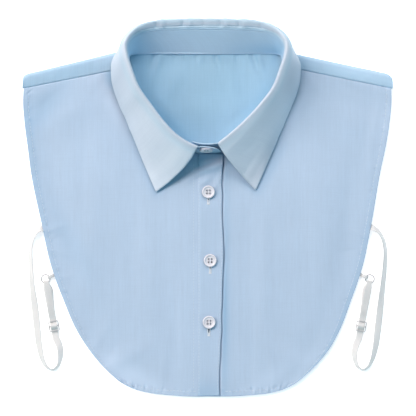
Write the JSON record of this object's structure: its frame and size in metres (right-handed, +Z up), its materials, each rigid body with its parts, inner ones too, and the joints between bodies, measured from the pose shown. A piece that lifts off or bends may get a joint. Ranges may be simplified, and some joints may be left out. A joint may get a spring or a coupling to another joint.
{
  "type": "detachable shirt collar",
  "caption": "Half shirt front with a pointed collar on a buttoned stand, a placket, a back piece folded over the shoulders and an elastic strap on each side.",
  "frame": {"origin": "middle of the bounding box in plan, on the table that the garment lies on", "axes": "+Y from the hem towards the neck, +X towards the side with the lower front, +Z up off the table"},
  "size_m": [0.3333, 0.3396, 0.0381],
  "materials": {
    "blue_cotton": "plain woven cotton, light blue",
    "white_elastic": "flat woven elastic, white",
    "white_button": "polished, white",
    "clear_plastic": "smooth, whitish clear"
  },
  "bodies": {
    "root": {"back_panel": "blue_cotton", "front_left": "blue_cotton", "front_right": "blue_cotton", "placket": "blue_cotton", "collar_stand": "blue_cotton", "collar_leaf": "blue_cotton", "button_1": "white_button", "button_2": "white_button", "button_3": "white_button", "button_stand": "white_button", "strap_left": "white_elastic", "strap_right": "white_elastic", "ring_tab_left": "white_elastic", "ring_tab_right": "white_elastic", "ring_left": "clear_plastic", "ring_right": "clear_plastic", "slider_left": "clear_plastic", "slider_right": "clear_plastic"}
  },
  "joints": []
}
